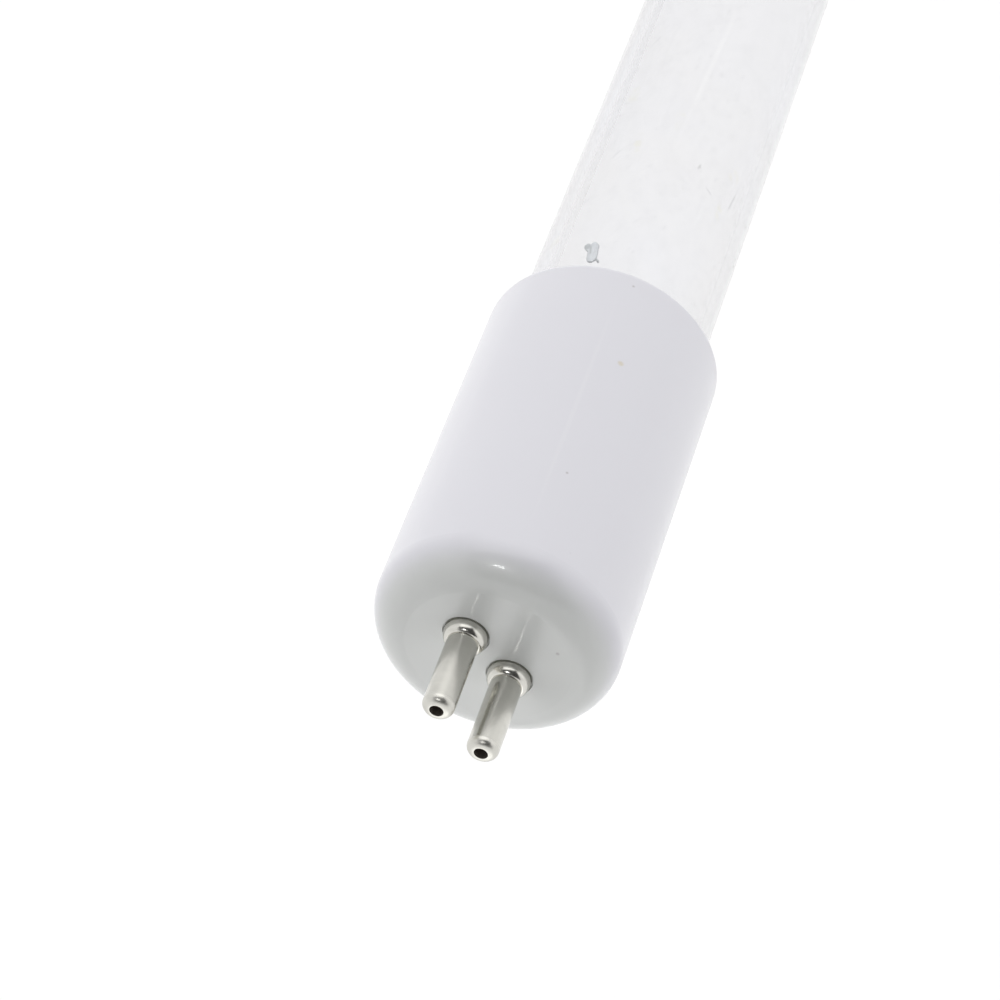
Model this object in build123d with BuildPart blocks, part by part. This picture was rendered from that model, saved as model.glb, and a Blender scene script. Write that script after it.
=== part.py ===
"""Ultraviolet replacement lamp: a sealed quartz tube with a two-pin ceramic cap cemented on each end.

The lamp lies along +X. Its origin is the centre of the front cap's end face, and the front pins
point along -X. The rear end is the front end turned end for end. All sizes are in millimetres.
"""

import os
from math import cos, radians, sin

from build123d import *

os.makedirs("parts", exist_ok=True)

# Whole lamp
LAMP_LENGTH = 212.1  # end face to end face, without the pins
PIN_ROLL = 47.6  # degrees from +Y towards +Z, for the plane of the pins and the pinch seals

# Quartz tube, drawn in to a flat pinch seal at each end
TUBE_DIAMETER = 15.0
TUBE_WALL = 1.1
NECK_LENGTH = 5.0
NECK_STEPS = 5  # lofted sections after the round one
PINCH_LENGTH = 8.5
PINCH_THICKNESS = 3.2
PINCH_INSET = 0.5  # from the tube's side to the seal's edge
PINCH_EDGE_ROUND = 1.0
PINCH_JAW_OVERLAP = 1.0  # how far the jaws pressed the flat seal into the neck

# Ceramic caps and the cement that holds them
CAP_LENGTH = 33.3
CAP_WALL = 1.45
CAP_END_WALL = 4.5
CAP_FACE_ROUND = 3.0
CAP_RIM_ROUND = 0.5
CAP_BORE_ROUND = 0.8
SOCKET_DEPTH = 7.5  # round tube held inside the cap
CEMENT_GAP = 0.3
CEMENT_RECESS = 0.8  # below the cap's rim

# Contact pins, riveted through the cap's end wall
PIN_SPACING = 4.75
PIN_DIAMETER = 2.37
PIN_LENGTH = 7.6
PIN_TIP_ROUND = 0.6
PIN_TIP_HOLE = 1.05
PIN_TIP_HOLE_DEPTH = 1.2
COLLAR_LIP = 0.47
COLLAR_HEIGHT = 0.95
COLLAR_SEAT_DEPTH = 0.25
COLLAR_SEAT_GAP = 0.12
PIN_TAIL_DIAMETER = 2.0
PIN_HOLE_GAP = 0.05
RIVET_LIP = 0.5
RIVET_LENGTH = 0.7
PIN_BORE_DEPTH = 3.5

# Current path inside each end: lead wire, foil, post and filament
LEAD_DIAMETER = 0.8
LEAD_GAP = 0.05
LEAD_END_GAP = 0.1
FOIL_WIDTH = 2.4
FOIL_THICKNESS = 0.05
FOIL_MARGIN = 1.0  # clear quartz past each end of the foil
WELD_LENGTH = 1.5  # wire or post lying on the foil
POST_DIAMETER = 0.8
POST_GAP = 0.05
POST_STRAIGHT = 3.0
POST_SPLAY_LENGTH = 2.5
POST_SPREAD = 8.4
POST_BEND = 0.9
POST_FINGER = 2.2
FILAMENT_WIRE = 0.36
FILAMENT_TURNS = 7
FILAMENT_FIT = 0.05
FILAMENT_SETBACK = 3.0  # inside the cap's rim

# Amalgam spot on the tube's inner wall
AMALGAM_FROM_RIM = 4.5
AMALGAM_ROLL = 72.0
AMALGAM_LENGTH = 2.5
AMALGAM_WIDTH = 1.3
AMALGAM_LOBE_REACH = 0.85  # from the spot's middle, away from the cap
AMALGAM_LOBE_SPREAD = 0.8
AMALGAM_LOBE_RADIUS = 0.42
AMALGAM_THICKNESS = 0.12

# A round takes at most this share of the wall that it is on
ROUND_SHARE = 0.45

# Sizes that follow from those
TUBE_RADIUS = TUBE_DIAMETER / 2
TUBE_INNER_RADIUS = TUBE_RADIUS - TUBE_WALL
BORE_RADIUS = TUBE_RADIUS + CEMENT_GAP
CAP_RADIUS = BORE_RADIUS + CAP_WALL
PINCH_WIDTH = TUBE_DIAMETER - 2 * PINCH_INSET
PIN_RADIUS = PIN_DIAMETER / 2
COLLAR_RADIUS = PIN_RADIUS + COLLAR_LIP
PIN_OFFSET = PIN_SPACING / 2
FILAMENT_RADIUS = POST_DIAMETER / 2 + FILAMENT_FIT + FILAMENT_WIRE / 2
FILAMENT_SPAN = POST_SPREAD - 2 * POST_BEND - FILAMENT_WIRE

# Stations along the front end, measured from its end face
PIN_TAIL_X = CAP_END_WALL + RIVET_LENGTH
SHOULDER_X = CAP_LENGTH - SOCKET_DEPTH
PINCH_INNER_X = SHOULDER_X - NECK_LENGTH
PINCH_OUTER_X = PINCH_INNER_X - PINCH_LENGTH
FOIL_OUTER_X = PINCH_OUTER_X + FOIL_MARGIN
FOIL_INNER_X = PINCH_INNER_X - FOIL_MARGIN
LEAD_START_X = PIN_TAIL_X - PIN_BORE_DEPTH + LEAD_END_GAP
FILAMENT_X = CAP_LENGTH - FILAMENT_SETBACK

# The pins lie on this line, and the seals lie flat in the plane through it and the lamp's axis
PIN_LINE = Vector(0, cos(radians(PIN_ROLL)), sin(radians(PIN_ROLL)))
SEAL_NORMAL = Vector(0, -sin(radians(PIN_ROLL)), cos(radians(PIN_ROLL)))
SEAL_PLANE = Plane(origin=(0, 0, 0), x_dir=(1, 0, 0), z_dir=SEAL_NORMAL)
FACE_PLANE = Plane(origin=(0, 0, 0), x_dir=PIN_LINE, z_dir=(-1, 0, 0))
FOIL_TOP_PLANE = SEAL_PLANE.offset(FOIL_THICKNESS / 2)
TURN_AXIS = Axis((LAMP_LENGTH / 2, 0, 0), SEAL_NORMAL)
SIDES = {"a": 1, "b": -1}


def station(x):
    """The plane across the lamp at x, with its own x along the line of the pins."""
    return Plane(origin=(x, 0, 0), x_dir=PIN_LINE, z_dir=(1, 0, 0))


def turned(part):
    """A front piece turned end for end, to its place at the rear."""
    return part.rotate(TURN_AXIS, 180)


def neck_section(step):
    """Half-width and half-thickness of the neck, easing from the round tube to the flat seal."""
    share = step / NECK_STEPS
    ease = share * share * (3 - 2 * share)
    half_width = TUBE_RADIUS + (PINCH_WIDTH / 2 - TUBE_RADIUS) * ease
    half_thickness = TUBE_RADIUS + (PINCH_THICKNESS / 2 - TUBE_RADIUS) * ease
    return half_width, half_thickness


def neck_x(step):
    """Where a section of the neck lies."""
    return SHOULDER_X - NECK_LENGTH * step / NECK_STEPS


def lead_wire(side, gap):
    """A lead wire pressed flat on its foil, or with a gap the passage that it takes through the quartz."""
    end_x = FOIL_OUTER_X + WELD_LENGTH
    with BuildPart() as wire:
        with BuildSketch(station(LEAD_START_X)):
            with Locations((side * PIN_OFFSET, 0)):
                Circle(LEAD_DIAMETER / 2 + gap)
        extrude(amount=end_x + gap - LEAD_START_X)
        with BuildSketch(FOIL_TOP_PLANE):
            with Locations((FOIL_OUTER_X - LEAD_GAP + gap, side * PIN_OFFSET)):
                Rectangle(2 * WELD_LENGTH, 2 * LEAD_DIAMETER, align=(Align.MIN, Align.CENTER))
        extrude(amount=-LEAD_DIAMETER, mode=Mode.SUBTRACT)
    return wire.part


def post_wire(side, gap):
    """An electrode post pressed flat on its foil, or with a gap the passage that it takes."""
    start_x = FOIL_INNER_X - WELD_LENGTH - gap
    splay_x = PINCH_INNER_X + POST_STRAIGHT
    near, far = side * PIN_OFFSET, side * POST_SPREAD / 2
    with BuildPart() as wire:
        with BuildLine(SEAL_PLANE):
            FilletPolyline(
                (start_x, near),
                (splay_x, near),
                (splay_x + POST_SPLAY_LENGTH, far),
                (FILAMENT_X, far),
                (FILAMENT_X, far - side * POST_FINGER),
                radius=POST_BEND,
            )
        with BuildSketch(station(start_x)):
            with Locations((near, 0)):
                Circle(POST_DIAMETER / 2 + gap)
        sweep()
        with BuildSketch(FOIL_TOP_PLANE):
            with Locations((FOIL_INNER_X + POST_GAP - gap, near)):
                Rectangle(2 * WELD_LENGTH, 2 * POST_DIAMETER, align=(Align.MAX, Align.CENTER))
        extrude(amount=-POST_DIAMETER, mode=Mode.SUBTRACT)
    return wire.part


def foil_strip(side):
    """A sealing foil, in the middle of the flat seal."""
    with BuildPart() as strip:
        with BuildSketch(SEAL_PLANE):
            with Locations(((FOIL_OUTER_X + FOIL_INNER_X) / 2, side * PIN_OFFSET)):
                Rectangle(FOIL_INNER_X - FOIL_OUTER_X, FOIL_WIDTH)
        extrude(amount=FOIL_THICKNESS / 2, both=True)
    return strip.part


def save(part, name):
    """Label a piece and write it."""
    part.label = name
    export_step(part, f"parts/{name}.step")


def save_both_ends(part, name):
    """Write a front piece, and the same piece at the rear."""
    save(part, f"front_{name}")
    save(turned(part), f"rear_{name}")


# End cap: rounded at its face, open at its rim, with two counterbored pin holes
with BuildPart() as end_cap:
    with BuildSketch(station(0)):
        Circle(CAP_RADIUS)
    extrude(amount=CAP_LENGTH)
    fillet(end_cap.faces().sort_by(Axis.X)[0].edges(), CAP_FACE_ROUND)
    with BuildSketch(station(CAP_END_WALL)):
        Circle(BORE_RADIUS)
    extrude(amount=CAP_LENGTH - CAP_END_WALL, mode=Mode.SUBTRACT)
    bore_floor = end_cap.faces().filter_by(Plane.YZ).sort_by(Axis.X)[1]
    fillet(bore_floor.edges(), CAP_BORE_ROUND)
    rim = end_cap.faces().filter_by(Plane.YZ).sort_by(Axis.X)[-1]
    fillet(rim.edges(), min(CAP_RIM_ROUND, ROUND_SHARE * CAP_WALL))
    with Locations(FACE_PLANE):
        with GridLocations(PIN_SPACING, 0, 2, 1):
            CounterBoreHole(
                radius=PIN_TAIL_DIAMETER / 2 + PIN_HOLE_GAP,
                counter_bore_radius=COLLAR_RADIUS + COLLAR_SEAT_GAP,
                counter_bore_depth=COLLAR_SEAT_DEPTH,
            )
save_both_ends(end_cap.part, "end_cap")

# Cement ring, filling the gap between the tube and the cap's bore
with BuildPart() as cement:
    with BuildSketch(station(SHOULDER_X)):
        Circle(BORE_RADIUS)
        Circle(TUBE_RADIUS, mode=Mode.SUBTRACT)
    extrude(amount=SOCKET_DEPTH - CEMENT_RECESS)
save_both_ends(cement.part, "cement_ring")

# Contact pins: domed collar on the face, rounded tip with a lead hole, tail riveted over inside
for side_name, side in SIDES.items():
    pin_axis = Axis(PIN_LINE * (side * PIN_OFFSET), (1, 0, 0))
    with BuildPart() as pin:
        with BuildSketch(SEAL_PLANE):
            with Locations((0, side * PIN_OFFSET)):
                with Locations((0, PIN_RADIUS)):
                    Ellipse(COLLAR_HEIGHT, COLLAR_LIP)
                    Rectangle(
                        COLLAR_HEIGHT, 2 * COLLAR_LIP, align=(Align.MIN, Align.CENTER), mode=Mode.SUBTRACT
                    )
                with Locations((-PIN_LENGTH, 0)):
                    Rectangle(PIN_LENGTH, PIN_RADIUS, align=(Align.MIN, Align.MIN))
                Rectangle(COLLAR_SEAT_DEPTH, COLLAR_RADIUS, align=(Align.MIN, Align.MIN))
                Rectangle(PIN_TAIL_X, PIN_TAIL_DIAMETER / 2, align=(Align.MIN, Align.MIN))
                with Locations((CAP_END_WALL, 0)):
                    Rectangle(
                        RIVET_LENGTH, PIN_TAIL_DIAMETER / 2 + RIVET_LIP, align=(Align.MIN, Align.MIN)
                    )
        revolve(axis=pin_axis)
        tip = pin.faces().filter_by(Plane.YZ).sort_by(Axis.X)[0]
        fillet(tip.edges(), PIN_TIP_ROUND)
        with Locations(FACE_PLANE.offset(PIN_LENGTH)):
            with Locations((side * PIN_OFFSET, 0)):
                Hole(PIN_TIP_HOLE / 2, depth=PIN_TIP_HOLE_DEPTH)
        with Locations(station(PIN_TAIL_X)):
            with Locations((side * PIN_OFFSET, 0)):
                Hole(LEAD_DIAMETER / 2 + LEAD_GAP, depth=PIN_BORE_DEPTH)
    save_both_ends(pin.part, f"pin_{side_name}")

# Lead wires, sealing foils and electrode posts, one of each on each side
for side_name, side in SIDES.items():
    save_both_ends(lead_wire(side, 0), f"lead_wire_{side_name}")
    save_both_ends(foil_strip(side), f"sealing_foil_{side_name}")
    save_both_ends(post_wire(side, 0), f"electrode_post_{side_name}")

# Filament: a coil slipped over the bent fingers of the two posts
with BuildPart() as filament:
    with BuildLine() as coil:
        Helix(
            pitch=FILAMENT_SPAN / FILAMENT_TURNS,
            height=FILAMENT_SPAN,
            radius=FILAMENT_RADIUS,
            center=Vector(FILAMENT_X, 0, 0) - PIN_LINE * (FILAMENT_SPAN / 2),
            direction=PIN_LINE,
        )
    with BuildSketch(Plane(origin=coil.line @ 0, z_dir=coil.line % 0)):
        Circle(FILAMENT_WIRE / 2)
    sweep(is_frenet=True)
save_both_ends(filament.part, "filament")

# One end of the tube, solid: the neck lofted down to the flat seal
with BuildPart() as sealed_end:
    for step in range(NECK_STEPS + 1):
        with BuildSketch(station(neck_x(step))):
            Ellipse(*neck_section(step))
    loft()
    with BuildSketch(station(PINCH_OUTER_X)):
        edge_round = min(PINCH_EDGE_ROUND, ROUND_SHARE * PINCH_THICKNESS)
        RectangleRounded(PINCH_WIDTH, PINCH_THICKNESS, edge_round)
    extrude(amount=PINCH_LENGTH + PINCH_JAW_OVERLAP)

# The hollow inside that neck, which stops one section short of the flat seal
with BuildPart() as neck_hollow:
    for step in range(NECK_STEPS):
        half_width, half_thickness = neck_section(step)
        with BuildSketch(station(neck_x(step))):
            Ellipse(half_width - TUBE_WALL, half_thickness - TUBE_WALL)
    loft()

# Quartz tube: round between the necks, hollow, and closed on the foils, wires and posts
with BuildPart() as quartz_tube:
    with BuildSketch(station(SHOULDER_X)):
        Circle(TUBE_RADIUS)
    extrude(amount=LAMP_LENGTH - 2 * SHOULDER_X)
    add(sealed_end.part)
    add(turned(sealed_end.part))
    with BuildSketch(station(SHOULDER_X)):
        Circle(TUBE_INNER_RADIUS)
    extrude(amount=LAMP_LENGTH - 2 * SHOULDER_X, mode=Mode.SUBTRACT)
    add(neck_hollow.part, mode=Mode.SUBTRACT)
    add(turned(neck_hollow.part), mode=Mode.SUBTRACT)
    for side in SIDES.values():
        for passage in (lead_wire(side, LEAD_GAP), post_wire(side, POST_GAP), foil_strip(side)):
            add(passage, mode=Mode.SUBTRACT)
            add(turned(passage), mode=Mode.SUBTRACT)
save(quartz_tube.part, "quartz_tube")

# Amalgam spot: a thin lobed patch that follows the tube's inner wall
with BuildPart() as amalgam_spot:
    spot_plane = Plane(
        origin=(CAP_LENGTH + AMALGAM_FROM_RIM, 0, 0),
        x_dir=(1, 0, 0),
        z_dir=(0, cos(radians(AMALGAM_ROLL)), sin(radians(AMALGAM_ROLL))),
    )
    with BuildSketch(spot_plane):
        Ellipse(AMALGAM_LENGTH / 2, AMALGAM_WIDTH / 2)
        with Locations((AMALGAM_LOBE_REACH, 0)):
            with GridLocations(0, AMALGAM_LOBE_SPREAD, 1, 2):
                Circle(AMALGAM_LOBE_RADIUS)
    extrude(amount=TUBE_RADIUS)
    with BuildSketch(station(CAP_LENGTH)):
        Circle(TUBE_INNER_RADIUS)
        Circle(TUBE_INNER_RADIUS - AMALGAM_THICKNESS, mode=Mode.SUBTRACT)
    extrude(amount=2 * (AMALGAM_FROM_RIM + AMALGAM_LENGTH), mode=Mode.INTERSECT)
save(amalgam_spot.part, "amalgam_spot")
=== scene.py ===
"""Looks of a straight ultraviolet replacement lamp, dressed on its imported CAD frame.

The lamp lies along +X, with the centre of the front cap's end face at the origin. A place round the lamp is
given as its roll, in degrees from +Y towards +Z. Lengths are in metres, and in the tables of marks in
millimetres.
"""

from math import atan2, cos, hypot, radians, sin, tau

import bpy
from bpy.props import FloatProperty, FloatVectorProperty, IntProperty, PointerProperty
from mathutils import Matrix, Vector


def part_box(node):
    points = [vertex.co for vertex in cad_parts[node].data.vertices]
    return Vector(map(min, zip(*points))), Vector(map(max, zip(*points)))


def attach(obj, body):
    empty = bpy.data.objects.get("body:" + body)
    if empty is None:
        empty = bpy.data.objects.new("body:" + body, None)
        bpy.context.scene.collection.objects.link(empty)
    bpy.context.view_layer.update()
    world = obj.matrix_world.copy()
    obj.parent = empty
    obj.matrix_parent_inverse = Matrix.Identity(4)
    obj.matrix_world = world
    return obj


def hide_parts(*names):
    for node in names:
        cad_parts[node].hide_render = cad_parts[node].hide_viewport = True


bl_info = {
    "name": "Ultraviolet Lamp Looks",
    "version": (1, 0, 0),
    "blender": (4, 5, 0),
    "location": "View3D > Sidebar > UV Lamp",
    "description": "Dresses a two-pin ultraviolet lamp and lights it on a white stage",
    "category": "Object",
}

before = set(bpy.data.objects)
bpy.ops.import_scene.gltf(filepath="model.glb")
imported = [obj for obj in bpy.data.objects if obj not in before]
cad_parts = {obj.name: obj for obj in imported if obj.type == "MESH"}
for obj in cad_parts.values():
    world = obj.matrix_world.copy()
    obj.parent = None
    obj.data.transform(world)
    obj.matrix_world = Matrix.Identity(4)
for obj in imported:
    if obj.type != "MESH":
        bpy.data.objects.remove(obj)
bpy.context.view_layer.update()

MM = 0.001
WHITE = (1, 1, 1, 1)
ENDS = ("front", "rear")
SIDES = ("a", "b")


def middle(node):
    """Centre of a CAD node's box."""
    low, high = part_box(node)
    return (low + high) / 2


# Sizes that the frame gives
CAP_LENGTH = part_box("front_end_cap")[1].x
CAP_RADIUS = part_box("front_end_cap")[1].y
LAMP_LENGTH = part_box("rear_end_cap")[1].x
LAMP_MIDDLE = LAMP_LENGTH / 2
TUBE_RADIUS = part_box("quartz_tube")[1].y
PIN_LENGTH = -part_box("front_pin_a")[0].x
PIN_PLACE = middle("front_pin_a").yz
PIN_OFFSET = PIN_PLACE.length
PIN_LINE = Vector((0, *PIN_PLACE.normalized()))

# Specks on the caps: x, distance from the axis, roll and radius
CAP_SIDE = CAP_RADIUS / MM
TAN_SPECKS = ((23.6, CAP_SIDE, 113.5, 0.34),)
GREY_SPECKS = ((31.9, CAP_SIDE, 106.4, 0.16), (10.9, CAP_SIDE, 108.2, 0.15), (0.0, 5.4, 162.0, 0.2))

# A painted reflection along the front cap, a pale line of light on the glaze: its first and last x, roll and
# width
GLAZE_REFLECTION_LINE = (3.0, 31.8, 101.0, 0.5)

# Marks on the tube: x and roll of one end, x and roll of the other, and width
# The first pale streak is a painted highlight, a line of light reflected along the tube; the second is a
# pale mark
PALE_STREAKS_AND_HIGHLIGHT = ((50.0, 100.0, 74.0, 107.0, 0.6), (43.0, 128.0, 46.5, 131.0, 0.25))
DARK_STREAKS = (
    (51.7, 151.3, 47.8, 147.8, 0.26),
    (59.0, 169.8, 61.6, 169.8, 0.3),
    (55.3, 49.0, 55.2, 60.5, 0.22),
    (56.4, 46.0, 56.1, 57.0, 0.2),
    (57.1, 50.0, 56.6, 62.0, 0.2),
    (48.5, 125.8, 48.0, 134.5, 0.2),
    (49.5, 118.0, 50.6, 119.5, 0.26),
)
TUBE_STAINS = (
    (38.6, 44.0, 41.0, 40.0, 1.8),
    (49.2, 80.0, 52.4, 76.0, 1.2),
    (52.6, 96.0, 56.0, 97.5, 1.1),
    (51.2, 140.0, 53.4, 149.0, 1.6),
    (46.0, 143.0, 48.6, 141.0, 1.2),
    (55.5, 62.0, 59.5, 60.0, 1.4),
)

# Inner share of a mark and of a fleck that has its full tone
MARK_CORE = 0.3
FLECK_CORE = 0.4

# Glaze: distances from the end face where the face's colour, with its painted grey-green shade tint, begins
# and where it is whole, and depth of the clouds
FACE_BLEND = (2.2 * MM, 0.3 * MM)
GLAZE_CLOUD = 0.012

# Quartz: distances from the axis where the wall's inner side begins and where it is whole, the warmer
# patches, the run of the streaks and scuffs, and how dark these and the smudges are
INNER_BLEND = (TUBE_RADIUS - 0.3 * MM, TUBE_RADIUS - 0.8 * MM)
WARM_CAST = (1.005, 1.0, 0.985)
DRAWN_STRETCH = (50, 1600, 1600)
SCUFF_STRETCH = (250, 2400, 2400)
SCUFF_TURN = (0.3, 0.35, 0.5)
DRAWN_SHARE = 0.14
SCUFF_SHARE = 0.4
SMUDGE_SHARE = 0.22

# Pins: edge of the tip hole's painted shade from the pin's axis, its mouth and the worn end from the tip,
# and turned lines
BORE_EDGE = (0.56 * MM, 0.5 * MM)
BORE_MOUTH = (0.0, 0.08 * MM)
TIP_WEAR = (0.9 * MM, 0.4 * MM)
TURNED_STRETCH = (9000, 300, 300)

# Dust: smallest and largest share of the grain size, width and height as shares of a grain's own size,
# how much longer a thread is, how rare threads are, and the clean stretch beside each cap
GRAIN_SPREAD = (0.3, 1.0)
GRAIN_WIDTH = 0.8
GRAIN_HEIGHT = 0.4
THREAD_STRETCH = 5
THREAD_RARITY = 5
DUST_MARGIN = 1.0 * MM

# Filaments: points in one turn of the fine strand, and sides of its wire
STRAND_STEPS = 8
WIRE_SIDES = 6

# Smear: strokes on its sheet, which runs from -1 to 1 along the lamp and round it, each with its start, end
# and half width, then the sheet's points, how ragged its outline is, its gap to the wall and its weld
SMEAR_STROKES = (
    (0.42, -0.06, -0.52, 0.12, 0.46),
    (0.72, -0.14, 0.50, -0.10, 0.27),
    (0.60, -0.72, 0.38, -0.45, 0.27),
    (-0.60, 0.45, -0.92, 0.86, 0.07),
)
OXIDE_STROKES = (
    (0.50, -0.34, -0.10, -0.16, 0.11),
    (0.62, -0.76, 0.52, -0.64, 0.30),
    (-0.70, 0.56, -0.92, 0.86, 0.10),
)
SMEAR_GRID = {"Vertices X": 70, "Vertices Y": 56}
SMEAR_RAGGED = 0.7
SMEAR_CLEARANCE = 0.005 * MM
SMEAR_WELD = 0.001 * MM

# The photograph's view
VIEW_ELEVATION = radians(44.21)
VIEW_TURN = radians(15.4)
VIEW_DISTANCE = 263.6 * MM
VIEW_LENS = 127.1
VIEW_SENSOR = 36.0
VIEW_NEAR = 10 * MM
VIEW_ASIDE = -3.55 * MM
VIEW_RAISE = -0.05 * MM

# The floor: its size, its colour under the light, its own white, and how much of that white the camera sees
FLOOR_SIZE = 4.0
FLOOR_COLOR = (0.85, 0.85, 0.85, 1)
FLOOR_GLOW = 1.1
FLOOR_SHARE = 0.8

# The dark side of the room, behind the camera
CARD_SIZE = 0.95
CARD_DISTANCE = 0.55
CARD_COLOR = (0.05, 0.05, 0.05, 1)

# Studio lamps: name, power in watts, size and place
LAMPS = (
    ("right", 0.16, (0.5, 0.5), (0.15, -0.55, 0.25)),
    ("over", 0.776, (0.6, 0.6), (0.12, 0.0, 0.6)),
    ("low", 0.0235, (0.3, 0.3), (-0.28, 0.04, -0.045)),
    ("near", 0.0037, (0.04, 0.04), (-0.03, 0.0, -0.046)),
)
LAMP_TARGET = Vector((0.02, 0, 0))

# A small bright pane that only shows as a glint
GLINT = ("glint", 0.24, (0.07, 0.05), (-0.35, 0.045, 0.355))

# Light goes round inside the tube's wall many times before it comes out
GLASS_BOUNCES = 32


class CeramicSettings(bpy.types.PropertyGroup):
    """Glaze of the end caps, and the cement in them"""

    # The side's lavender is a painted tint of the light on the lit side, and the face's grey-green a painted
    # tint of the shade on the face
    lit_side_color: FloatVectorProperty(
        name="Side", description="Colour of the glazed side", subtype="COLOR", size=3,
        default=(0.80, 0.795, 0.845), min=0, max=1,
    )
    shaded_face_color: FloatVectorProperty(
        name="Face", description="Colour of the end face", subtype="COLOR", size=3,
        default=(0.80, 0.815, 0.80), min=0, max=1,
    )
    tan_color: FloatVectorProperty(
        name="Tan speck", description="Colour of iron fired into the glaze", subtype="COLOR", size=3,
        default=(0.68, 0.60, 0.40), min=0, max=1,
    )
    grey_color: FloatVectorProperty(
        name="Grey speck", description="Colour of kiln dust in the glaze", subtype="COLOR", size=3,
        default=(0.45, 0.42, 0.43), min=0, max=1,
    )
    roughness: FloatProperty(
        name="Roughness", description="Roughness under the glaze", subtype="FACTOR",
        default=0.3, min=0, max=1,
    )
    cement_color: FloatVectorProperty(
        name="Cement", description="Colour of the cement between cap and tube", subtype="COLOR", size=3,
        default=(0.78, 0.77, 0.73), min=0, max=1,
    )


class QuartzSettings(bpy.types.PropertyGroup):
    """Clear tube, and the dust on it"""

    tint: FloatVectorProperty(
        name="Tint", description="Colour of light that passes the tube", subtype="COLOR", size=3,
        default=(0.806, 0.807, 0.828), min=0, max=1,
    )
    index: FloatProperty(
        name="Index",
        description="Refraction; quartz has 1.46, but less keeps the wall's edge as faint as in the photo",
        default=1.2, min=1, max=2,
    )
    stain_color: FloatVectorProperty(
        name="Stain", description="Colour of light that passes a finger stain", subtype="COLOR", size=3,
        default=(0.76, 0.745, 0.62), min=0, max=1,
    )
    haze: FloatProperty(
        name="Haze", description="Roughness of the handled outer side", subtype="FACTOR",
        default=0.12, min=0, max=1,
    )
    coat_haze: FloatProperty(
        name="Coat", description="Roughness of the coated inner side", subtype="FACTOR",
        default=0.14, min=0, max=1,
    )
    dust_color: FloatVectorProperty(
        name="Dust", description="Colour of the dust on the tube", subtype="COLOR", size=3,
        default=(0.76, 0.75, 0.73), min=0, max=1,
    )
    grain_count: IntProperty(
        name="Grains", description="Specks of dust on the tube", default=200, min=0, max=1000
    )
    grain_size: FloatProperty(
        name="Grain size", description="Radius of the largest speck", subtype="DISTANCE",
        default=0.065 * MM, min=0, max=MM,
    )
    seed: IntProperty(name="Seed", description="Another lay of the dust", default=7, min=0)


class NickelSettings(bpy.types.PropertyGroup):
    """Plating of the contact pins"""

    color: FloatVectorProperty(
        name="Plating", description="Colour of the bright nickel", subtype="COLOR", size=3,
        default=(0.64, 0.63, 0.585), min=0, max=1,
    )
    # Painted shade: the dark inside of each tip's hole
    hole_shade_color: FloatVectorProperty(
        name="Tip hole", description="Colour inside the hole of each tip", subtype="COLOR", size=3,
        default=(0.17, 0.13, 0.115), min=0, max=1,
    )
    roughness: FloatProperty(
        name="Roughness", description="Roughness of the plating", subtype="FACTOR",
        default=0.2, min=0, max=1,
    )


class FilamentSettings(bpy.types.PropertyGroup):
    """Coiled filaments, and the wires and foils that feed them"""

    turns: IntProperty(name="Turns", description="Turns of each coil", default=7, min=1)
    strand_turns: IntProperty(
        name="Fine turns", description="Turns of the fine strand in one turn of the coil", default=16, min=1
    )
    wire_share: FloatProperty(
        name="Wire", description="Fine wire's radius as a share of the strand's", subtype="FACTOR",
        default=0.3, min=0.05, max=0.9,
    )
    color: FloatVectorProperty(
        name="Coating", description="Colour of the emitting coat", subtype="COLOR", size=3,
        default=(0.75, 0.74, 0.70), min=0, max=1,
    )
    wire_color: FloatVectorProperty(
        name="Leads", description="Colour of the lead wires and posts", subtype="COLOR", size=3,
        default=(0.55, 0.55, 0.54), min=0, max=1,
    )
    foil_color: FloatVectorProperty(
        name="Foils", description="Colour of the sealing foils", subtype="COLOR", size=3,
        default=(0.48, 0.48, 0.50), min=0, max=1,
    )


class AmalgamSettings(bpy.types.PropertyGroup):
    """Amalgam on the tube's inner wall"""

    color: FloatVectorProperty(
        name="Metal", description="Pale part of the smear", subtype="COLOR", size=3,
        default=(0.93, 0.965, 0.99), min=0, max=1,
    )
    dark_color: FloatVectorProperty(
        name="Oxide", description="Dark part of the smear", subtype="COLOR", size=3,
        default=(0.50, 0.53, 0.51), min=0, max=1,
    )


class StageSettings(bpy.types.PropertyGroup):
    """Floor and light"""

    floor_drop: FloatProperty(
        name="Floor drop", description="From the lamp's axis down to the floor", subtype="DISTANCE",
        default=0.05, min=0,
    )
    fill: FloatProperty(name="Fill", description="Strength of the white light all round", default=1.0, min=0)


class LampSettings(bpy.types.PropertyGroup):
    """Everything that a user would change"""

    ceramic: PointerProperty(type=CeramicSettings)
    nickel: PointerProperty(type=NickelSettings)
    quartz: PointerProperty(type=QuartzSettings)
    filament: PointerProperty(type=FilamentSettings)
    amalgam: PointerProperty(type=AmalgamSettings)
    stage: PointerProperty(type=StageSettings)


def around(x, radius, roll):
    """The point at an x, distance from the axis and roll, which are in millimetres and degrees."""
    return Vector((x, radius * cos(radians(roll)), radius * sin(radians(roll)))) * MM


def on_tube(streaks):
    """Both ends and the width, in metres, of each mark in one of the tube's tables."""
    radius = TUBE_RADIUS / MM
    return [
        (around(start_x, radius, start_roll), around(end_x, radius, end_roll), width * MM)
        for start_x, start_roll, end_x, end_roll, width in streaks
    ]


def shaded(color, share=1):
    """A colour times a share, with its alpha."""
    return (*[channel * share for channel in color], 1)


def cleared(holder):
    """The node tree of a new material or world, emptied."""
    holder.use_nodes = True
    holder.node_tree.nodes.clear()
    return holder.node_tree


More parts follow.
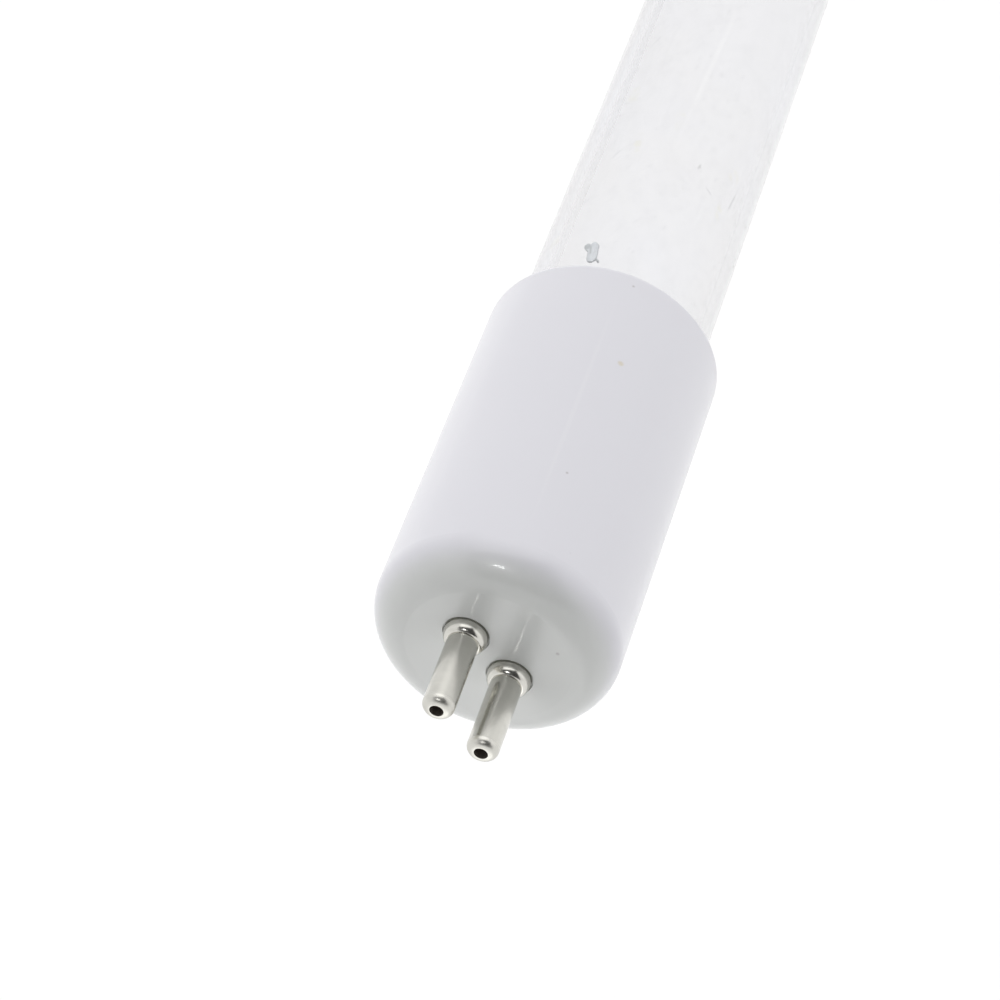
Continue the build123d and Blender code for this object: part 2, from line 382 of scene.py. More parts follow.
class Value:
    """One output socket, so that maths on nodes is written as plain arithmetic."""

    def __init__(self, tree, node, output):
        self.tree = tree
        self.node = node
        self.socket = node.outputs[output]

    def out(self, output):
        """Another output of the same node."""
        return Value(self.tree, self.node, output)

    def __add__(self, other):
        return self.tree.maths("ADD", self, other)

    def __radd__(self, other):
        return self.tree.maths("ADD", other, self)

    def __sub__(self, other):
        return self.tree.maths("SUBTRACT", self, other)

    def __rsub__(self, other):
        return self.tree.maths("SUBTRACT", other, self)

    def __mul__(self, other):
        return self.tree.maths("MULTIPLY", self, other)

    def __rmul__(self, other):
        return self.tree.maths("MULTIPLY", other, self)

    def __truediv__(self, other):
        return self.tree.maths("DIVIDE", self, other)

    def __rtruediv__(self, other):
        return self.tree.maths("DIVIDE", other, self)

    def __pow__(self, other):
        return self.tree.maths("POWER", self, other)

    def __abs__(self):
        return self.tree.maths("ABSOLUTE", self)


class Tree:
    """Adds nodes to a node tree."""

    def __init__(self, node_tree):
        self.node_tree = node_tree

    def node(self, kind, settings=None, sockets=None, output=0):
        """Add a node, set it up, feed its sockets with values or links, and give one of its outputs."""
        made = self.node_tree.nodes.new(kind)
        for name, setting in (settings or {}).items():
            setattr(made, name, setting)
        for name, fed in (sockets or {}).items():
            if isinstance(fed, Value):
                self.node_tree.links.new(fed.socket, made.inputs[name])
            else:
                made.inputs[name].default_value = fed
        return Value(self, made, output) if made.outputs else made

    def maths(self, operation, *terms):
        """A Math node on numbers or values."""
        return self.node("ShaderNodeMath", {"operation": operation}, dict(enumerate(terms)))

    def vector(self, operation, *terms, output=0):
        """A Vector Math node on vectors."""
        return self.node("ShaderNodeVectorMath", {"operation": operation}, dict(enumerate(terms)), output)

    def scaled(self, vector, share):
        """A vector times a number or value."""
        return self.node("ShaderNodeVectorMath", {"operation": "SCALE"}, {0: vector, "Scale": share})

    def combine(self, x, y, z):
        """A vector from three numbers or values."""
        return self.node("ShaderNodeCombineXYZ", None, {"X": x, "Y": y, "Z": z})

    def split(self, vector):
        """The three parts of a vector."""
        parts = self.node("ShaderNodeSeparateXYZ", None, {0: vector})
        return parts, parts.out("Y"), parts.out("Z")

    def cos(self, angle):
        """The cosine of an angle in radians."""
        return self.maths("COSINE", angle)

    def sin(self, angle):
        """The sine of an angle in radians."""
        return self.maths("SINE", angle)

    def smooth(self, value, start, end):
        """A soft step from 0 at start to 1 at end."""
        return self.node(
            "ShaderNodeMapRange", {"interpolation_type": "SMOOTHSTEP"},
            {"Value": value, "From Min": start, "From Max": end},
        )

    def noise(self, vector, scale=1.0, detail=2.0, roughness=0.5):
        """Noise from 0 to 1."""
        return self.node(
            "ShaderNodeTexNoise", None,
            {"Vector": vector, "Scale": scale, "Detail": detail, "Roughness": roughness},
        )


class Finish(Tree):
    """A material with one Principled shader, whose constant sockets are set first."""

    def __init__(self, name, **constants):
        self.material = bpy.data.materials.new(name)
        super().__init__(cleared(self.material))
        self.shader = self.node(
            "ShaderNodeBsdfPrincipled", None, {self.label(key): value for key, value in constants.items()}
        )
        self.node("ShaderNodeOutputMaterial", None, {"Surface": self.shader})
        self.place = self.node("ShaderNodeTexCoord", output="Object")

    @staticmethod
    def label(key):
        """A shader socket's own name, such as Coat IOR for coat_ior."""
        return key.replace("_", " ").title().replace("Ior", "IOR")

    def feed(self, **sockets):
        """Link what varies over the surface to the shader."""
        for key, value in sockets.items():
            self.node_tree.links.new(value.socket, self.shader.node.inputs[self.label(key)])

    def mix(self, factor, first, second):
        """A blend of two colours, whose sockets go by index because a Mix node's names repeat."""
        return self.node(
            "ShaderNodeMix", {"data_type": "RGBA"}, {0: factor, 6: first, 7: second}, output=2
        )

    def laid(self, color, tone, mask, share=1.0):
        """A colour with a share of another tone laid over it where the mask is."""
        return self.mix(mask * share, color, tone)

    def varied(self, base, noise, spread):
        """A base number that a noise moves up and down by half the spread."""
        return base + (noise - 0.5) * spread

    def patches(self, vector, low, high, **noise):
        """A mask for the high parts of a noise, which begins at low and is whole at high."""
        return self.smooth(self.noise(vector, **noise), low, high)

    def bump(self, height, strength, depth):
        """A normal that follows a height from 0 to 1."""
        return self.node(
            "ShaderNodeBump", None, {"Height": height, "Strength": strength, "Distance": depth}
        )

    def stretched(self, scale, turn=(0, 0, 0)):
        """The lamp's coordinates, turned and then scaled along each axis."""
        turned = self.node(
            "ShaderNodeMapping", {"vector_type": "POINT"}, {"Vector": self.place, "Rotation": turn}
        )
        return self.vector("MULTIPLY", turned, scale)

    def mark(self, start, end, width):
        """A mask for a mark that tapers from its middle to both ends."""
        along = end - start
        turn = along.to_track_quat("X", "Z").to_euler() if along.length else (0, 0, 0)
        reach = (max(along.length, width) / 2, width / 2, width / 2)
        local = self.node(
            "ShaderNodeMapping", {"vector_type": "TEXTURE"},
            {"Vector": self.place, "Location": (start + end) / 2, "Rotation": turn, "Scale": reach},
        )
        return self.smooth(self.vector("LENGTH", local, output="Value"), 1.0, MARK_CORE)

    def marks(self, places):
        """One mask for several marks, each given by its two ends and its width."""
        masks = [self.mark(*place) for place in places]
        total = masks[0]
        for mask in masks[1:]:
            total = self.maths("MAXIMUM", total, mask)
        return total

    def flecks(self, scale, share, size):
        """A mask for small round flecks, in that share of the cells of a pattern."""
        cell = self.node("ShaderNodeTexVoronoi", None, {"Vector": self.place, "Scale": scale})
        chosen = self.maths("LESS_THAN", self.split(cell.out("Color"))[0], share)
        return self.smooth(cell, size, size * FLECK_CORE) * chosen


class Growth(Tree):
    """A geometry tree with named inputs."""

    def __init__(self, name, inputs):
        super().__init__(bpy.data.node_groups.new(name, "GeometryNodeTree"))
        for label, kind in inputs.items():
            self.node_tree.interface.new_socket(name=label, in_out="INPUT", socket_type=f"NodeSocket{kind}")
        self.node_tree.interface.new_socket(
            name="Geometry", in_out="OUTPUT", socket_type="NodeSocketGeometry"
        )
        self.inputs = self.node("NodeGroupInput")

    def given(self, label):
        """One of the tree's inputs."""
        return self.inputs.out(label)

    def chance(self, low, high, salt):
        """A random number for each point, the same on each run; the float sockets go by index."""
        return self.node(
            "FunctionNodeRandomValue", {"data_type": "FLOAT"},
            {2: low, 3: high, "Seed": self.given("Seed") + salt}, output=1,
        )

    def strokes(self, u, w, strokes):
        """How far u and w lie outside the nearest of some strokes: 0 along its middle and 1 at its edge."""
        nearest = None
        for start_u, start_w, end_u, end_w, reach in strokes:
            run_u, run_w = end_u - start_u, end_w - start_w
            from_u, from_w = u - start_u, w - start_w
            share = (from_u * run_u + from_w * run_w) / (run_u**2 + run_w**2)
            share = self.maths("MINIMUM", self.maths("MAXIMUM", share, 0.0), 1.0)
            outside = ((from_u - share * run_u) ** 2 + (from_w - share * run_w) ** 2) / reach**2
            nearest = outside if nearest is None else self.maths("MINIMUM", nearest, outside)
        return nearest

    def joined(self, *parts):
        """Several geometries as one."""
        join = self.node("GeometryNodeJoinGeometry")
        for part in parts:
            self.node_tree.links.new(part.socket, join.node.inputs[0])
        return join

    def close(self, geometry, material):
        """End the tree in plain smooth geometry with its material."""
        smooth = self.node("GeometryNodeSetShadeSmooth", None, {0: geometry})
        real = self.node("GeometryNodeRealizeInstances", None, {0: smooth})
        done = self.node("GeometryNodeSetMaterial", None, {"Geometry": real, "Material": material})
        self.node("NodeGroupOutput", None, {0: done})

    def grow(self, name, values, place=Matrix()):
        """The piece that the tree makes with these input values, as a plain mesh that rides on the lamp."""
        piece = bpy.data.objects.new(name, bpy.data.meshes.new(name))
        bpy.context.scene.collection.objects.link(piece)
        modifier = piece.modifiers.new("Growth", "NODES")
        modifier.node_group = self.node_tree
        for socket in self.node_tree.interface.items_tree:
            if socket.in_out == "INPUT":
                modifier[socket.identifier] = values[socket.name]
        graph = bpy.context.evaluated_depsgraph_get()
        mesh = bpy.data.meshes.new_from_object(piece.evaluated_get(graph))
        if not mesh.polygons:
            raise RuntimeError(f"{name} has no faces")
        piece.modifiers.remove(modifier)
        mesh.transform(place)
        piece.data = mesh
        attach(piece, "root")
        return piece


def glazed_ceramic(settings):
    """White glaze with a few fired-in specks, painted faintly lavender as the tint of light on the lit side
    and grey-green as the tint of shade on the face, with a painted reflection line along the front cap.
    """
    glaze = Finish("glazed_ceramic", coat_weight=0.35, coat_roughness=0.04, coat_ior=1.5, ior=1.5)
    x = glaze.split(glaze.place)[0]
    on_face = glaze.smooth(LAMP_MIDDLE - abs(x - LAMP_MIDDLE), *FACE_BLEND)
    cloud = glaze.noise(glaze.place, scale=90.0, detail=3.0)
    # Painted tints of light: lavender on the lit side, grey-green laid over it on the shaded face
    pale = shaded(settings.lit_side_color, 1 + GLAZE_CLOUD)
    side = glaze.mix(cloud, pale, shaded(settings.lit_side_color, 1 - GLAZE_CLOUD))
    color = glaze.laid(side, shaded(settings.shaded_face_color), on_face)

    # Painted reflection: a faint white line of light along the front cap
    first, last, roll, width = GLAZE_REFLECTION_LINE
    reflection_line = glaze.mark(around(first, CAP_SIDE, roll), around(last, CAP_SIDE, roll), width * MM)
    color = glaze.laid(color, WHITE, reflection_line, share=0.08)
    for specks, tone in ((TAN_SPECKS, settings.tan_color), (GREY_SPECKS, settings.grey_color)):
        places = [around(*speck[:3]) for speck in specks]
        widths = [2 * speck[3] * MM for speck in specks]
        ragged = glaze.noise(glaze.place, scale=2600.0)
        color = glaze.laid(color, shaded(tone), glaze.marks(zip(places, places, widths)) * ragged)
    pits = glaze.flecks(scale=260.0, share=0.35, size=0.035)
    color = glaze.laid(color, shaded(settings.grey_color), pits, share=0.25)

    ripple = glaze.noise(glaze.place, scale=420.0, detail=1.0)
    glaze.feed(
        base_color=color,
        roughness=glaze.varied(settings.roughness, cloud, spread=0.06),
        normal=glaze.bump(ripple, strength=0.06, depth=0.02 * MM),
    )
    return glaze.material


def clear_quartz(settings):
    """Clear tube, hazed by handling and by its inner coat, with drawn-in streaks, scuffs and stains, and a
    painted highlight line along it.
    """
    quartz = Finish("clear_quartz", transmission_weight=1.0, ior=settings.index)
    y, z = quartz.split(quartz.place)[1:]
    inside = quartz.smooth(quartz.maths("SQRT", y * y + z * z), *INNER_BLEND)
    cloud = quartz.noise(quartz.place, scale=70.0)
    warm = [channel * cast for channel, cast in zip(settings.tint, WARM_CAST)]
    color = quartz.laid(shaded(settings.tint), shaded(warm), quartz.smooth(cloud, 0.4, 0.65))

    drawn = quartz.patches(quartz.stretched(DRAWN_STRETCH), low=0.58, high=0.75, detail=3.0)
    scuffs = quartz.patches(quartz.stretched(SCUFF_STRETCH, SCUFF_TURN), low=0.62, high=0.73, detail=3.0)
    smudges = quartz.patches(quartz.place, low=0.45, high=0.7, scale=380.0, detail=6.0, roughness=0.75)
    handled = drawn * DRAWN_SHARE + scuffs * SCUFF_SHARE + smudges * SMUDGE_SHARE
    color = quartz.laid(color, shaded(settings.tint, 0.8), handled)
    drops = quartz.flecks(scale=420.0, share=0.3, size=0.16) * quartz.noise(quartz.place, scale=3000.0)
    color = quartz.laid(color, shaded(warm, 0.84), drops, share=0.5)
    specks = quartz.flecks(scale=900.0, share=0.5, size=0.09)
    color = quartz.laid(color, shaded(settings.tint, 0.7), specks, share=0.6)

    # Painted highlight: the first pale streak is a line of reflected light along the tube
    pale = quartz.marks(on_tube(PALE_STREAKS_AND_HIGHLIGHT))
    color = quartz.laid(color, WHITE, pale, share=0.18)
    dark = quartz.marks(on_tube(DARK_STREAKS))
    color = quartz.laid(color, shaded(settings.tint, 0.65), dark, share=0.7)
    ragged = quartz.patches(quartz.place, low=0.4, high=0.65, scale=1300.0, detail=3.0, roughness=0.6)
    stains = quartz.marks(on_tube(TUBE_STAINS)) * ragged
    color = quartz.laid(color, shaded(settings.stain_color), stains, share=0.5)

    haze = settings.haze + inside * (settings.coat_haze - settings.haze)
    quartz.feed(
        base_color=quartz.laid(color, WHITE, inside),
        roughness=quartz.varied(haze + scuffs * 0.1, cloud, spread=0.04),
        normal=quartz.bump(drawn + scuffs, strength=0.025, depth=0.01 * MM),
    )
    return quartz.material


def bright_nickel(settings):
    """Plated pins with fine lines turned round them, and painted shade darkening the hole in each tip."""
    nickel = Finish("bright_nickel", metallic=1.0)
    x, y, z = nickel.split(nickel.place)
    along = y * PIN_LINE.y + z * PIN_LINE.z
    across = z * PIN_LINE.y - y * PIN_LINE.z
    from_axis = nickel.maths("SQRT", (abs(along) - PIN_OFFSET) ** 2 + across * across)
    from_tip = LAMP_MIDDLE + PIN_LENGTH - abs(x - LAMP_MIDDLE)
    # Painted shade inside each tip's hole
    hole_shade = nickel.smooth(from_axis, *BORE_EDGE) * nickel.smooth(from_tip, *BORE_MOUTH)
    worn = nickel.smooth(from_tip, *TIP_WEAR)

    lines = nickel.noise(nickel.stretched(TURNED_STRETCH))
    tarnish = nickel.patches(nickel.place, low=0.45, high=0.75, scale=900.0, detail=3.0)
    color = nickel.mix(lines, shaded(settings.color, 1.02), shaded(settings.color, 0.95))
    color = nickel.laid(color, shaded(settings.color, 0.8), tarnish, share=0.35)
    plating = nickel.varied(settings.roughness, lines, spread=0.08)
    nickel.feed(
        base_color=nickel.laid(color, shaded(settings.hole_shade_color), hole_shade),
        roughness=plating + tarnish * 0.06 + worn * 0.15 + hole_shade * 0.4,
        normal=nickel.bump(lines, strength=0.05, depth=0.01 * MM),
    )
    return nickel.material


def fine_grain(name, color, roughness, grain, metallic=0.0):
    """A fine-grained finish for dust and the pieces inside the lamp."""
    finish = Finish(name, metallic=metallic)
    cloud = finish.noise(finish.place, scale=grain, detail=4.0, roughness=0.6)
    finish.feed(
        base_color=finish.mix(cloud, shaded(color), shaded(color, 0.8)),
        roughness=finish.varied(roughness, cloud, spread=0.15),
        normal=finish.bump(cloud, strength=0.3, depth=0.02 * MM),
    )
    return finish.material


def mottled_amalgam(settings):
    """Pale blue-grey smear, mottled all over, with dark oxide along a few strokes."""
    amalgam = Finish("mottled_amalgam", ior=1.5)
    mottle = amalgam.patches(amalgam.place, low=0.48, high=0.72, scale=2400.0, detail=4.0, roughness=0.6)
    oxide = amalgam.node("ShaderNodeAttribute", {"attribute_name": "oxide"}, output="Fac")
    amalgam.feed(
        base_color=amalgam.laid(
            shaded(settings.color), shaded(settings.dark_color), mottle * 0.15 + oxide * 0.45
        ),
        roughness=0.4 + mottle * 0.3,
        normal=amalgam.bump(mottle, strength=0.4, depth=0.02 * MM),
    )
    return amalgam.material


def dress(nodes, material):
    """Give CAD nodes a material."""
    for name in nodes:
        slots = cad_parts[name].material_slots
        if not slots:
            raise RuntimeError(f"{name} has no material slot")
        for slot in slots:
            slot.material = material


def both_ends(*names):
    """The front and rear nodes of these names."""
    return [f"{end}_{name}" for end in ENDS for name in names]


def both_sides(*names):
    """The names of the pieces on both sides."""
    return [f"{name}_{side}" for name in names for side in SIDES]


def dust_growth(material):
    """Grains and a few threads of dust that lie flat on a tube along X."""
    growth = Growth("tube_dust", {
        "Count": "Int", "Grain": "Float", "Radius": "Float", "Start": "Float", "End": "Float", "Seed": "Int",
    })
    x = growth.chance(growth.given("Start"), growth.given("End"), salt=0)
    roll = growth.chance(0.0, tau, salt=1)
    outward = growth.combine(0.0, growth.cos(roll), growth.sin(roll))
    foot = growth.vector("ADD", growth.scaled(outward, growth.given("Radius")), growth.combine(x, 0.0, 0.0))
    points = growth.node("GeometryNodePoints", None, {"Count": growth.given("Count"), "Position": foot})

    size = growth.given("Grain") * growth.chance(*GRAIN_SPREAD, salt=2)
    length = size * (1 + THREAD_STRETCH * growth.chance(0.0, 1.0, salt=3) ** THREAD_RARITY)
    turn = growth.combine(0.0, 0.0, growth.chance(0.0, tau, salt=4))
    spin = growth.node("FunctionNodeEulerToRotation", None, {0: turn})
    lying = growth.node(
        "FunctionNodeAlignRotationToVector", {"axis": "Z"}, {"Rotation": spin, "Vector": outward}
    )
    grain = growth.node("GeometryNodeMeshIcoSphere", None, {"Radius": 1.0, "Subdivisions": 1})
    dust = growth.node("GeometryNodeInstanceOnPoints", None, {
        "Points": points, "Instance": grain, "Rotation": lying,
        "Scale": growth.combine(length, size * GRAIN_WIDTH, size * GRAIN_HEIGHT),
    })
    growth.close(dust, material)
    return growth


def coil_growth(material):
    """A coil along Z whose strand is itself a fine coil of wire."""
    growth = Growth("coiled_filament", {
        "Turns": "Float", "Coil Radius": "Float", "Span": "Float",
        "Strand Turns": "Float", "Strand Radius": "Float", "Wire Radius": "Float", "Resolution": "Int",
    })
    spiral = growth.node("GeometryNodeCurveSpiral", None, {
        "Resolution": growth.given("Resolution"), "Rotations": growth.given("Turns"),
        "Start Radius": growth.given("Coil Radius"), "End Radius": growth.given("Coil Radius"),
        "Height": growth.given("Span"),
    })
    angle = growth.node("GeometryNodeSplineParameter") * growth.given("Strand Turns") * tau
    normal = growth.node("GeometryNodeInputNormal")
    beside = growth.vector("CROSS_PRODUCT", growth.node("GeometryNodeInputTangent"), normal)
    reach = growth.given("Strand Radius") - growth.given("Wire Radius")
    offset = growth.vector(
        "ADD",
        growth.scaled(normal, growth.cos(angle) * reach),
        growth.scaled(beside, growth.sin(angle) * reach),
    )
    strand = growth.node("GeometryNodeSetPosition", None, {"Geometry": spiral, "Offset": offset})
    wire = growth.node(
        "GeometryNodeCurvePrimitiveCircle", {"mode": "RADIUS"},
        {"Resolution": WIRE_SIDES, "Radius": growth.given("Wire Radius")},
    )
    coil = growth.node(
        "GeometryNodeCurveToMesh", None, {"Curve": strand, "Profile Curve": wire, "Fill Caps": True}
    )
    growth.close(coil, material)
    return growth


def smear_growth(material):
    """A thin smear with a ragged lobed outline, wrapped on a wall round X and thickened towards the axis."""
    growth = Growth("amalgam_smear", {
        "Length": "Float", "Width": "Float", "Radius": "Float", "Thickness": "Float",
    })
    sheet = growth.node("GeometryNodeMeshGrid", None, {
        "Size X": growth.given("Length"), "Size Y": growth.given("Width"), **SMEAR_GRID,
    })
    place = growth.node("GeometryNodeInputPosition")
    x, y = growth.split(place)[:2]
    u = x * 2 / growth.given("Length")
    w = y * 2 / growth.given("Width")
    ragged = (growth.noise(place, scale=2500.0, detail=3.0) - 0.5) * SMEAR_RAGGED

    oxide = growth.smooth(growth.strokes(u, w, OXIDE_STROKES) + ragged, 1.2, 0.2)
    oxidised = growth.node(
        "GeometryNodeStoreNamedAttribute", {"data_type": "FLOAT", "domain": "POINT"},
        {"Geometry": sheet, "Name": "oxide", "Value": oxide},
    )
    bare = growth.maths("GREATER_THAN", growth.strokes(u, w, SMEAR_STROKES) + ragged, 1.0)
    patch = growth.node(
        "GeometryNodeDeleteGeometry", {"domain": "FACE"}, {"Geometry": oxidised, "Selection": bare}
    )

    radius = growth.given("Radius")
    roll = y / radius
    on_wall = growth.combine(x, radius * growth.cos(roll), radius * growth.sin(roll))
    wrapped = growth.node("GeometryNodeSetPosition", None, {"Geometry": patch, "Position": on_wall})
    raised = growth.node("GeometryNodeExtrudeMesh", {"mode": "FACES"}, {
        "Mesh": wrapped, "Offset Scale": growth.given("Thickness"), "Individual": False,
    })
    back = growth.node("GeometryNodeFlipFaces", None, {0: wrapped})
    closed = growth.node(
        "GeometryNodeMergeByDistance", None,
        {"Geometry": growth.joined(raised, back), "Distance": SMEAR_WELD},
    )
    growth.close(closed, material)
    return growth


class UV_LAMP_OT_end_caps(bpy.types.Operator):
    """Glaze both ceramic caps and finish the cement round the tube in them"""

    bl_idname = "uv_lamp.end_caps"
    bl_label = "End caps"

    def execute(self, context):
        settings = context.scene.uv_lamp.ceramic
        dress(both_ends("end_cap"), glazed_ceramic(settings))
        cement = fine_grain("basing_cement", settings.cement_color, roughness=0.85, grain=3000.0)
        dress(both_ends("cement_ring"), cement)
        return {"FINISHED"}


class UV_LAMP_OT_contact_pins(bpy.types.Operator):
    """Plate the four contact pins"""

    bl_idname = "uv_lamp.contact_pins"
    bl_label = "Contact pins"

    def execute(self, context):
        dress(both_ends(*both_sides("pin")), bright_nickel(context.scene.uv_lamp.nickel))
        return {"FINISHED"}


class UV_LAMP_OT_quartz_tube(bpy.types.Operator):
    """Clear the sealed tube and dust it"""

    bl_idname = "uv_lamp.quartz_tube"
    bl_label = "Quartz tube"

    def execute(self, context):
        settings = context.scene.uv_lamp.quartz
        dress(["quartz_tube"], clear_quartz(settings))
        matt = fine_grain("tube_dust", settings.dust_color, roughness=0.8, grain=4000.0)
        clean = CAP_LENGTH + DUST_MARGIN
        dust = dust_growth(matt).grow("tube_dust", {
            "Count": settings.grain_count, "Grain": settings.grain_size, "Radius": TUBE_RADIUS,
            "Start": clean, "End": LAMP_LENGTH - clean, "Seed": settings.seed,
        })
        return {"FINISHED"}


class UV_LAMP_OT_electrodes(bpy.types.Operator):
    """Finish the wires, foils and posts inside both ends, and wind both filaments"""

    bl_idname = "uv_lamp.electrodes"
    bl_label = "Electrodes"

    def execute(self, context):
        settings = context.scene.uv_lamp.filament
        wire = fine_grain("drawn_wire", settings.wire_color, roughness=0.35, grain=4000.0, metallic=1.0)
        dress(both_ends(*both_sides("lead_wire", "electrode_post")), wire)
        foil = fine_grain("rolled_foil", settings.foil_color, roughness=0.4, grain=4000.0, metallic=1.0)
        dress(both_ends(*both_sides("sealing_foil")), foil)
        growth = coil_growth(fine_grain("coated_coil", settings.color, roughness=0.8, grain=6000.0))
        for node in both_ends("filament"):
            self.wind(growth, node, settings)
        return {"FINISHED"}

    def wind(self, growth, node, settings):
        """Wind a coil in the place of a CAD filament, with its radius, span and first point."""
        centre = middle(node)
        points = [vertex.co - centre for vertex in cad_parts[node].data.vertices]
        spans = [point.dot(PIN_LINE) for point in points]
        spokes = [point - PIN_LINE * span for point, span in zip(points, spans)]
        outer = max(spoke.length for spoke in spokes)
        inner = min(spoke.length for spoke in spokes)
        strand = (outer - inner) / 2
        start = min(spans)
        near = [spoke for spoke, span in zip(spokes, spans) if span < start + strand / 2]
        across = sum(near, Vector()).normalized()
        basis = Matrix((across, PIN_LINE.cross(across), PIN_LINE)).transposed().to_4x4()
        place = Matrix.Translation(centre + PIN_LINE * (start + strand)) @ basis
        coil = growth.grow(f"{node}_coil", {
            "Turns": float(settings.turns), "Coil Radius": (outer + inner) / 2,
            "Span": max(spans) - start - 2 * strand,
            "Strand Turns": float(settings.turns * settings.strand_turns), "Strand Radius": strand,
            "Wire Radius": strand * settings.wire_share, "Resolution": settings.strand_turns * STRAND_STEPS,
        }, place)
        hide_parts(node)


class UV_LAMP_OT_amalgam_spot(bpy.types.Operator):
    """Smear the amalgam on the tube's inner wall"""

    bl_idname = "uv_lamp.amalgam_spot"
    bl_label = "Amalgam spot"

    def execute(self, context):
        low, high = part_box("amalgam_spot")
        centre = middle("amalgam_spot")
        points = [vertex.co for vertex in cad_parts["amalgam_spot"].data.vertices]
        radii = [hypot(point.y, point.z) for point in points]
        wall = max(radii)
        roll = atan2(centre.z, centre.y)
        arc = 2 * max(abs(atan2(point.z, point.y) - roll) for point in points)
        place = Matrix.Translation((centre.x, 0, 0)) @ Matrix.Rotation(roll, 4, "X")
        smear = smear_growth(mottled_amalgam(context.scene.uv_lamp.amalgam)).grow("amalgam_smear", {
            "Length": high.x - low.x, "Width": arc * wall, "Radius": wall - SMEAR_CLEARANCE,
            "Thickness": wall - min(radii) - SMEAR_CLEARANCE,
        }, place)
        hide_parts("amalgam_spot")
        return {"FINISHED"}


def seen_white(tree, camera_share=1.0):
    """1 as seen in metal or through glass, a share of 1 as seen by the camera, 0 as light on a surface."""
    path = tree.node("ShaderNodeLightPath")
    direct = path.out("Is Camera Ray") * camera_share
    return direct + path.out("Is Glossy Ray") + path.out("Is Transmission Ray")


def white_floor():
    """A white floor that keeps a faint shadow."""
    material = bpy.data.materials.new("white_floor")
    tree = Tree(cleared(material))
    matt = tree.node("ShaderNodeBsdfDiffuse", None, {"Color": FLOOR_COLOR})
    glow = tree.node("ShaderNodeEmission", None, {"Color": WHITE, "Strength": FLOOR_GLOW})
    both = tree.node("ShaderNodeMixShader", None, {0: seen_white(tree, FLOOR_SHARE), 1: matt, 2: glow})
    tree.node("ShaderNodeOutputMaterial", None, {"Surface": both})
    return material


def add_panel(name, size, centre, facing, material):
    """A flat square panel of the stage."""
    half = size / 2
    turn = Vector(facing).to_track_quat("Z", "Y")
    corners = [(-half, -half, 0), (half, -half, 0), (half, half, 0), (-half, half, 0)]
    mesh = bpy.data.meshes.new(name)
    mesh.from_pydata([turn @ Vector(corner) + Vector(centre) for corner in corners], [], [(0, 1, 2, 3)])
    mesh.materials.append(material)
    panel = bpy.data.objects.new(name, mesh)
    bpy.context.scene.collection.objects.link(panel)
    return panel


def add_lamp(name, power, size, place):
    """A soft area lamp that points at the front cap."""
    light = bpy.data.lights.new(name, "AREA")
    light.energy = power
    light.shape = "RECTANGLE"
    light.size, light.size_y = size
    lamp = bpy.data.objects.new(name, light)
    lamp.location = place
    lamp.rotation_mode = "QUATERNION"
    lamp.rotation_quaternion = (LAMP_TARGET - Vector(place)).to_track_quat("-Z", "Y")
    lamp.visible_camera = False
    bpy.context.scene.collection.objects.link(lamp)
    return lamp


def view_direction():
    """The way that the camera looks."""
    level = cos(VIEW_ELEVATION)
    return Vector((level * cos(VIEW_TURN), level * sin(VIEW_TURN), -sin(VIEW_ELEVATION)))


def add_camera(look):
    """The photograph's camera, aimed beside the middle of the front cap."""
    right = look.cross((0, 0, 1)).normalized()
    target = Vector((CAP_LENGTH / 2, 0, 0)) + right * VIEW_ASIDE + right.cross(look) * VIEW_RAISE
    camera = bpy.data.objects.new("camera", bpy.data.cameras.new("camera"))
    camera.data.lens = VIEW_LENS
    camera.data.sensor_width = VIEW_SENSOR
    camera.data.clip_start = VIEW_NEAR
    camera.location = target - look * VIEW_DISTANCE
    camera.rotation_euler = look.to_track_quat("-Z", "Y").to_euler()
    bpy.context.scene.collection.objects.link(camera)
    bpy.context.scene.camera = camera


def light_world(fill):
    """A world of even light at the fill's strength, which still looks white itself."""
    world = bpy.data.worlds.new("studio")
    tree = Tree(cleared(world))
    strength = fill + seen_white(tree) * (1 - fill)
    ground = tree.node("ShaderNodeBackground", None, {"Color": WHITE, "Strength": strength})
    tree.node("ShaderNodeOutputWorld", None, {"Surface": ground})
    # Even light needs no map of its bright parts
    world.cycles.sampling_method = "NONE"
    bpy.context.scene.world = world


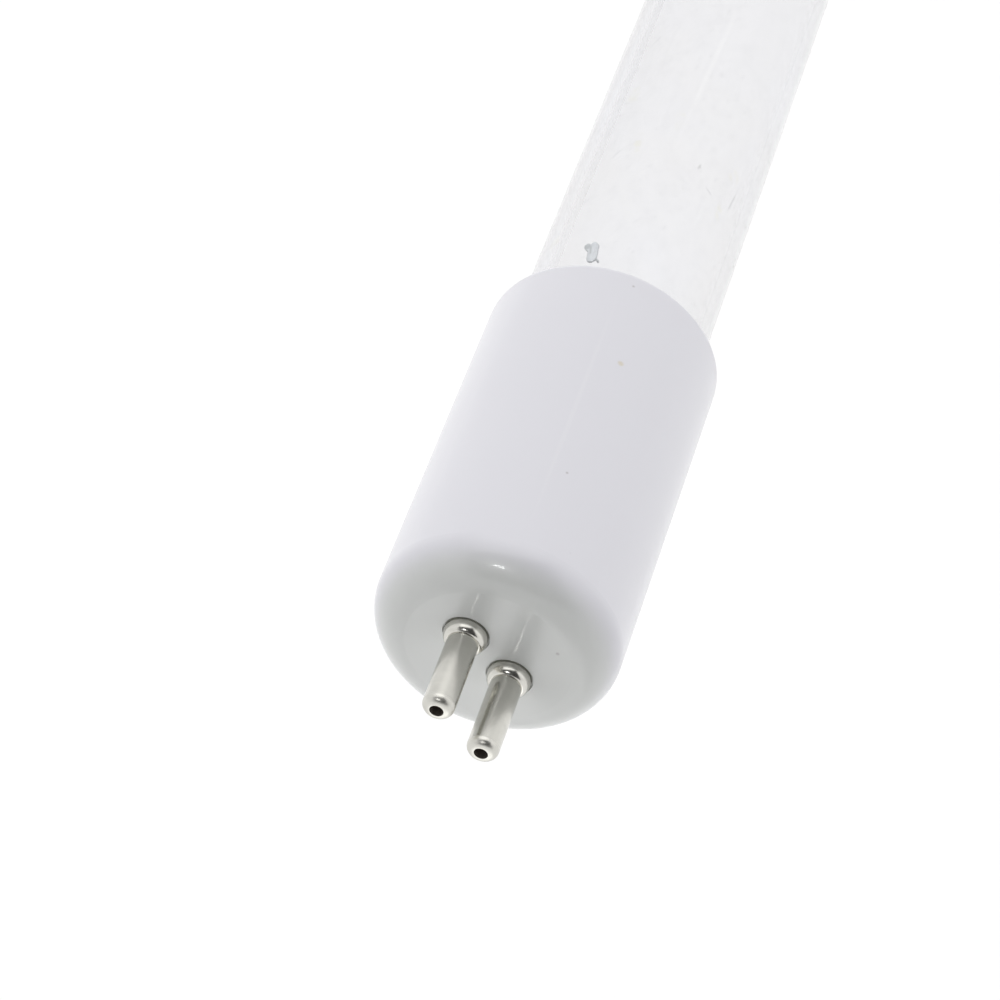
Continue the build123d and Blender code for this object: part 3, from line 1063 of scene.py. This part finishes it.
class UV_LAMP_OT_stage(bpy.types.Operator):
    """Set up the floor, the light and the camera"""

    bl_idname = "uv_lamp.stage"
    bl_label = "Stage"

    def execute(self, context):
        settings = context.scene.uv_lamp.stage
        look = view_direction()
        add_camera(look)
        add_panel("floor", FLOOR_SIZE, (LAMP_MIDDLE, 0, -settings.floor_drop), (0, 0, 1), white_floor())
        dark = Finish("dark_card", base_color=CARD_COLOR, roughness=0.9).material
        card = add_panel("front_card", CARD_SIZE, -look * CARD_DISTANCE, look, dark)
        card.visible_camera = False
        card.visible_transmission = False
        for lamp in LAMPS:
            add_lamp(*lamp)
        add_lamp(*GLINT).visible_diffuse = False
        light_world(settings.fill)

        context.scene.view_settings.view_transform = "Standard"
        cycles = context.scene.cycles
        cycles.max_bounces = GLASS_BOUNCES
        cycles.transmission_bounces = GLASS_BOUNCES
        cycles.glossy_bounces = GLASS_BOUNCES
        return {"FINISHED"}


class UV_LAMP_PT_looks(bpy.types.Panel):
    """Lists the steps that dress the lamp, each with its settings"""

    bl_label = "Ultraviolet lamp"
    bl_idname = "UV_LAMP_PT_looks"
    bl_space_type = "VIEW_3D"
    bl_region_type = "UI"
    bl_category = "UV Lamp"

    def draw(self, context):
        for step, name in STEPS.items():
            box = self.layout.box()
            box.operator(step.bl_idname)
            group = getattr(context.scene.uv_lamp, name)
            for setting in type(group).__annotations__:
                box.prop(group, setting)


# Each step with the name of the settings that it reads
STEPS = {
    UV_LAMP_OT_end_caps: "ceramic",
    UV_LAMP_OT_contact_pins: "nickel",
    UV_LAMP_OT_quartz_tube: "quartz",
    UV_LAMP_OT_electrodes: "filament",
    UV_LAMP_OT_amalgam_spot: "amalgam",
    UV_LAMP_OT_stage: "stage",
}
SETTINGS = (
    CeramicSettings,
    NickelSettings,
    QuartzSettings,
    FilamentSettings,
    AmalgamSettings,
    StageSettings,
    LampSettings,
)
CLASSES = (*SETTINGS, *STEPS, UV_LAMP_PT_looks)


def register():
    """Add the settings, the steps and their panel to Blender."""
    for item in CLASSES:
        bpy.utils.register_class(item)
    bpy.types.Scene.uv_lamp = PointerProperty(type=LampSettings)


def unregister():
    """Take them out again."""
    del bpy.types.Scene.uv_lamp
    for item in reversed(CLASSES):
        bpy.utils.unregister_class(item)


def main():
    """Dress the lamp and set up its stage."""
    register()
    bpy.ops.uv_lamp.end_caps()
    bpy.ops.uv_lamp.contact_pins()
    bpy.ops.uv_lamp.quartz_tube()
    bpy.ops.uv_lamp.electrodes()
    bpy.ops.uv_lamp.amalgam_spot()
    bpy.ops.uv_lamp.stage()


if __name__ == "__main__":
    main()
